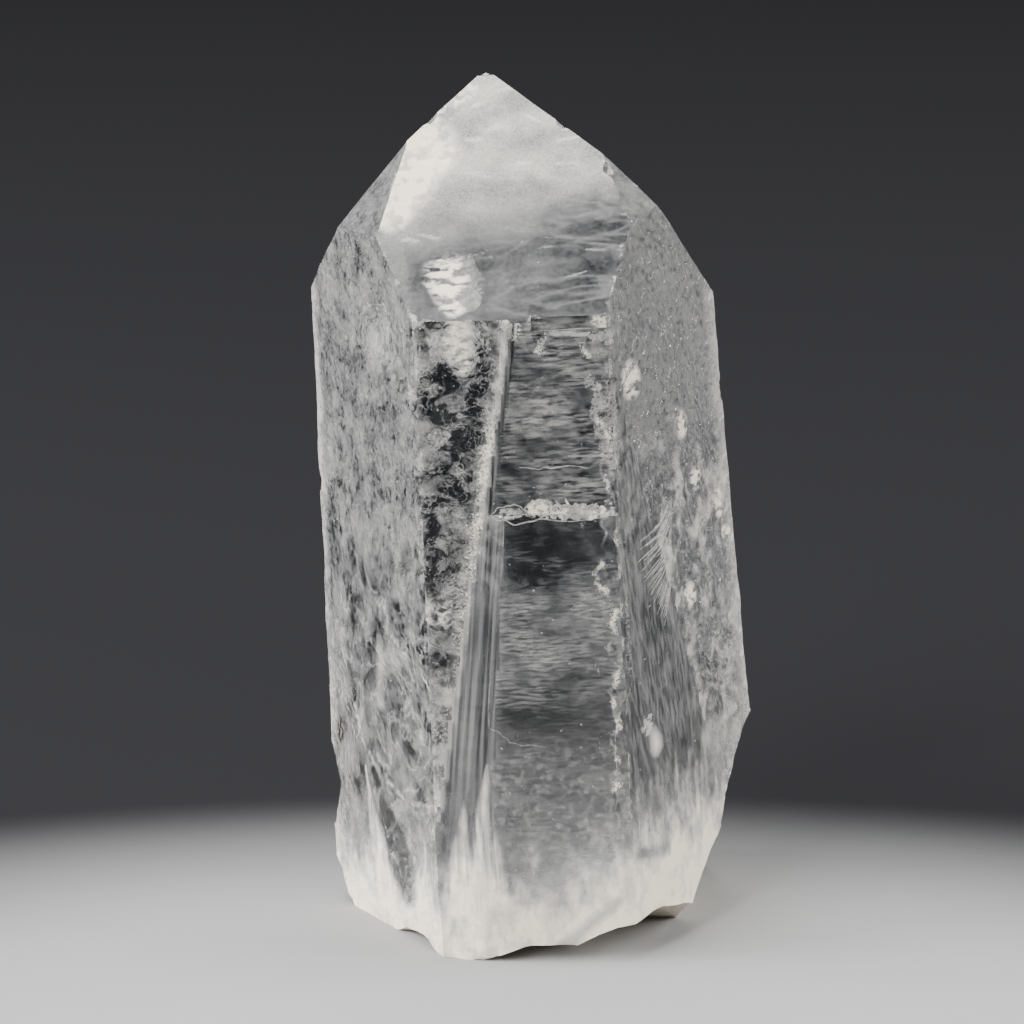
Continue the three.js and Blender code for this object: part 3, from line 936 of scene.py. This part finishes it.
def seal_in(piece, material):
    """Gives an inclusion its material and fixes it in the crystal."""
    tuck_under_skin(piece)
    piece.data.materials.append(material)
    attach(piece, "root")


def join_pieces(pieces, name):
    """Joins pieces into one object with that name."""
    bpy.ops.object.select_all(action="DESELECT")
    for piece in pieces:
        piece.select_set(True)
    bpy.context.view_layer.objects.active = pieces[0]
    bpy.ops.object.join()
    pieces[0].name = name
    return pieces[0]


SPAN_STEPS = 4
THREAD_END = 0.25  # how thick a thread's ends are, beside its middle


def thread(name, places, radius, wander, seed):
    """A thin tapered thread through places in mm, such as the lip of a crack."""
    dice = random.Random(seed)
    spans = [(Vector(start), Vector(end)) for start, end in zip(places, places[1:])]
    steps = [start.lerp(end, k / SPAN_STEPS) for start, end in spans for k in range(SPAN_STEPS)]
    steps = [step + Vector([dice.gauss(0, wander) for _ in range(3)]) for step in steps]
    curve = bpy.data.curves.new(name, "CURVE")
    curve.dimensions = "3D"
    curve.bevel_depth = radius * MM
    curve.bevel_resolution = 1
    curve.resolution_u = 3
    spline = curve.splines.new("NURBS")
    spline.points.add(len(steps) - 1)
    for index, (point, place) in enumerate(zip(spline.points, steps)):
        point.co = [side * MM for side in place] + [1]
        swelling = math.sin(math.pi * (index + 0.5) / len(steps))
        point.radius = THREAD_END + (1 - THREAD_END) * swelling
    spline.use_endpoint_u = True
    spline.order_u = 3
    bpy.ops.object.select_all(action="DESELECT")
    lip = bpy.data.objects.new(name, curve)
    bpy.context.scene.collection.objects.link(lip)
    bpy.context.view_layer.objects.active = lip
    lip.select_set(True)
    bpy.ops.object.convert(target="MESH")
    return bpy.context.object


# This white serves for real bruises and also for painted glints: flakes and sheets that stand in for
# glints of light.
bruise_and_glint_white = bubble_white("bubble_and_glint_white_quartz", 0.85, 1.0)
veil_white = bubble_white("bubble_veil_quartz", 0.6, 0.55)


def seal_sheets(material, sheets):
    """Tears and seals in a list of sheets, each given by the terms of torn_sheet."""
    for name, *terms in sheets:
        seal_in(torn_sheet(name, *terms), material)


# Each sheet's name, place, size, turn, seed, share kept, cell, crumple, tears and flare.
seal_sheets(
    bruise_and_glint_white,
    [
        ("tip_inclusion", (-4.9, 3.8, 40.9), (3.8, 4.2), (55, -32, 0), 2.0, 0.56, 0.05, 0.7, 0.45, 0.5),
        ("tip_inclusion_deep", (-4.7, 4.2, 40.7), (3.2, 3.6), (55, -32, 0), 7.0, 0.5, 0.06, 0.6, 0.5, 0.5),
        ("ledge_bruise", (2.7, -11.9, 31.6), (5.6, 1.2), (75, 0, 0), 9.0, 0.34, 0.04, 0.3, 0.3),
        ("ledge_bruise_deep", (2.9, -11.6, 31.5), (5.2, 0.9), (60, 0, 0), 19.0, 0.3, 0.04, 0.3, 0.3),
        ("ledge_block", (0.4, -11.9, 31.9), (1.3, 1.2), (80, 10, 0), 11.0, 0.5, 0.04, 0.3, 0.5),
        ("ledge_lens", (-1.7, -11.9, 31.5), (2.8, 1.1), (80, 0, 0), 17.0, 0.05, 0.04, 0.3, 0.3),
        ("slit_bar", (2.4, -11.8, 43.9), (3.4, 0.4), (55, 0, 0), 4.0, 0.5, 0.04, 0.1, 0.4),
        ("slit_bar_end", (4.3, -11.7, 43.7), (1.8, 0.7), (85, 0, 10), 14.5, 0.3, 0.04, 0.1, 0.3),
        ("right_wedge", (7.9, -10.6, 16.2), (1.8, 1.6), (85, 15, 50), 13.0, 0.3, 0.05, 0.3, 0.5),
        # Painted glint: a white sheet that stands in for a glint of light at the right foot.
        ("right_foot_glint", (10.4, -8.0, 7.0), (1.8, 0.9), (80, 30, 50), 15.0, 0.45, 0.05, 0.3, 0.4),
        ("tip_corner_bruise", (4.9, -11.4, 43.6), (1.0, 1.4), (85, 0, 20), 26.0, 0.25, 0.04, 0.3, 0.3),
        # Painted glint: a white sheet that stands in for a glint of light on the base.
        ("foot_glint", (-4.6, -12.1, 4.8), (2.4, 0.5), (85, 0, 0), 43.0, 0.6, 0.04, 0.1, 0.4),
        ("right_fleck_high", (6.6, -9.7, 40.3), (1.7, 1.5), (85, 20, 50), 34.0, 0.36, 0.04, 0.3, 0.35),
        ("right_fleck_edge", (10.1, -4.0, 35.7), (0.9, 0.6), (85, 10, 60), 35.0, 0.6, 0.04, 0.2, 0.6),
        ("right_fleck_mid", (11.2, -2.7, 31.7), (0.9, 0.9), (85, 10, 60), 36.0, 0.5, 0.04, 0.2, 0.4),
        ("right_fleck_round", (10.7, -4.7, 23.8), (0.9, 1.0), (85, 10, 60), 37.0, 0.7, 0.04, 0.2, 0.5),
        ("right_fleck_rim", (13.2, 0.3, 26.9), (0.7, 0.8), (85, 10, 60), 38.0, 0.7, 0.04, 0.2, 0.5),
        ("right_fleck_ring", (12.7, -0.3, 29.2), (1.0, 1.4), (85, 10, 60), 39.0, 0.3, 0.04, 0.2, 0.4),
    ],
)
seal_sheets(
    veil_white,
    [
        ("right_veil", (4.5, -11.6, 38.0), (1.6, 7.5), (88, -12, 8), 5.0, 0.3, 0.05, 0.3, 0.7),
        ("seam_bruise_mid", (-5.0, -11.9, 25.5), (0.9, 9.0), (88, 7, -10), 22.0, 0.12, 0.04, 0.2, 0.18),
        ("seam_bruise_low", (-6.2, -12.0, 15.5), (0.7, 8.0), (88, 7, -10), 23.0, 0.08, 0.04, 0.2, 0.18),
        ("border_bruise_high", (5.2, -11.5, 37.5), (1.2, 8.0), (88, -4, 15), 24.0, 0.12, 0.04, 0.3, 0.2),
        ("border_bruise_low", (6.3, -11.9, 23.0), (0.8, 8.0), (88, -3, 20), 25.0, 0.1, 0.04, 0.3, 0.2),
        ("panel_veil", (-6.3, -11.4, 36.6), (1.6, 1.6), (88, 0, 0), 42.0, 0.4, 0.05, 0.3, 0.6),
        ("deep_veil_left", (-5.0, -2.0, 27.0), (5.0, 8.0), (80, 10, -20), 33.0, 0.08, 0.09, 0.5, 1.0),
    ],
)

# The lips of cracks and single growth lines are threads through these places.
fine_step = [(-1.0, -12, 34.7), (0.4, -12, 34.6), (1.5, -12, 34.65)]
fine_step += [(2.4, -12, 34.85), (4.2, -12, 34.6)]
contour = [(-3.0, -12.2, 20.2), (-2.9, -12.2, 16.6), (-2.0, -12.2, 16)]
contour += [(-1.2, -12.2, 15.4), (1.5, -12.2, 15.2)]
border_line = [(6.9, -12, 20.8), (6.3, -12, 19), (5.9, -12, 17.5)]
border_line += [(5.5, -12, 15.8), (5.8, -12, 13), (5.9, -12, 10)]
upper_lip = [(-2.9, -12, 31.3), (-2.4, -12, 31.9), (-1.3, -12, 32.2)]
upper_lip += [(-0.4, -12, 31.6), (0.0, -12, 31.1)]
lower_lip = [(-2.7, -12, 31.2), (-1.2, -12, 30.75), (0.5, -12, 31.1)]
lower_lip += [(2.5, -12, 31.0), (4.8, -12, 31.2)]
fleck = [(-8.0, -11.2, 19.7), (-7.3, -11.4, 19.3), (-6.7, -11.5, 18.6)]
seal_in(thread("fine_step", fine_step, 0.05, 0.04, 1), bruise_and_glint_white)
seal_in(thread("lower_contour", contour, 0.04, 0.08, 2), veil_white)
seal_in(thread("border_line", border_line, 0.05, 0.12, 3), veil_white)
seal_in(thread("ledge_upper_lip", upper_lip, 0.05, 0.05, 4), bruise_and_glint_white)
seal_in(thread("seam_fleck", fleck, 0.12, 0.05, 6), bruise_and_glint_white)
seal_in(thread("ledge_lower_lip", lower_lip, 0.06, 0.05, 5), bruise_and_glint_white)

FLAKE_THICKNESS = 0.2 * MM
SHALLOWEST = 0.15  # in mm below the skin


def scatter_flakes(name, face_names, count, sizes, deepest, seed):
    """Tiny flakes at random places under the named faces, down to a depth in mm."""
    dice = random.Random(seed)
    chosen = np.flatnonzero(np.isin(skin_faces, face_names)).tolist()
    bpy.ops.object.select_all(action="DESELECT")
    bpy.ops.mesh.primitive_circle_add(vertices=5, radius=MM / 2, fill_type="NGON")
    flake = bpy.context.object
    modify(flake, "thickness", "SOLIDIFY", thickness=FLAKE_THICKNESS)
    flakes = []
    for _ in range(count):
        face = crystal.data.polygons[dice.choice(chosen)]
        size = dice.uniform(*sizes)
        place = face.center - face.normal * dice.uniform(SHALLOWEST, deepest) * MM
        shape = Matrix.Diagonal((size, size * dice.uniform(0.3, 1.0), size, 1))
        turn = Matrix.Rotation(dice.uniform(0, math.tau), 4, [dice.gauss(0, 1) for _ in range(3)])
        copy = flake.copy()
        copy.data = flake.data.copy()
        copy.data.transform(Matrix.Translation(place) @ turn @ shape)
        bpy.context.scene.collection.objects.link(copy)
        flakes.append(copy)
    bpy.data.objects.remove(flake)
    return join_pieces(flakes, name)


# Painted glints: tiny white flakes under the skin that stand in for glints of light.
GLINTS = [  # name, faces, count, sizes in mm, greatest depth in mm, seed
    ("front_glints", FRONT_FACES + ["seam_panel"], 90, (0.08, 0.22), 1.2, 6),
    ("side_glints", RIGHT_FACES + ["front_left"], 130, (0.08, 0.26), 0.8, 7),
    ("tip_glints", TIP_FACES + ["small_right"], 40, (0.06, 0.16), 0.6, 8),
    ("deep_glints", REAR_FACES, 60, (0.1, 0.3), 14, 9),
]
for glints in GLINTS:
    seal_in(scatter_flakes(*glints), bruise_and_glint_white)

# The fan: hackle lines that spread over a crack behind the right face.
FAN_THREADS = 30
FAN_TOPS = (Vector((9.5, -5.9, 31.2)), Vector((9.4, -7.2, 25.0)))  # in mm, as are its feet
FAN_FEET = (Vector((6.4, -12.0, 28.4)), Vector((8.9, -8.7, 21.5)))
fan_dice = random.Random(10)
fan_threads = []
for index in range(FAN_THREADS):
    share = index / (FAN_THREADS - 1)
    top = FAN_TOPS[0].lerp(FAN_TOPS[1], share)
    foot = FAN_FEET[0].lerp(FAN_FEET[1], share)
    foot = top.lerp(foot, fan_dice.uniform(0.6, 1.0))
    sag = fan_dice.uniform(-0.9, -0.4) * (1 - share * 0.7)
    middle = top.lerp(foot, 0.4) + Vector((0, 0, sag))
    radius = fan_dice.uniform(0.04, 0.09)
    fan_threads.append(thread(f"fan_{index}", [top, middle, foot], radius, 0.02, index))
seal_in(join_pieces(fan_threads, "hackle_fan"), bruise_and_glint_white)
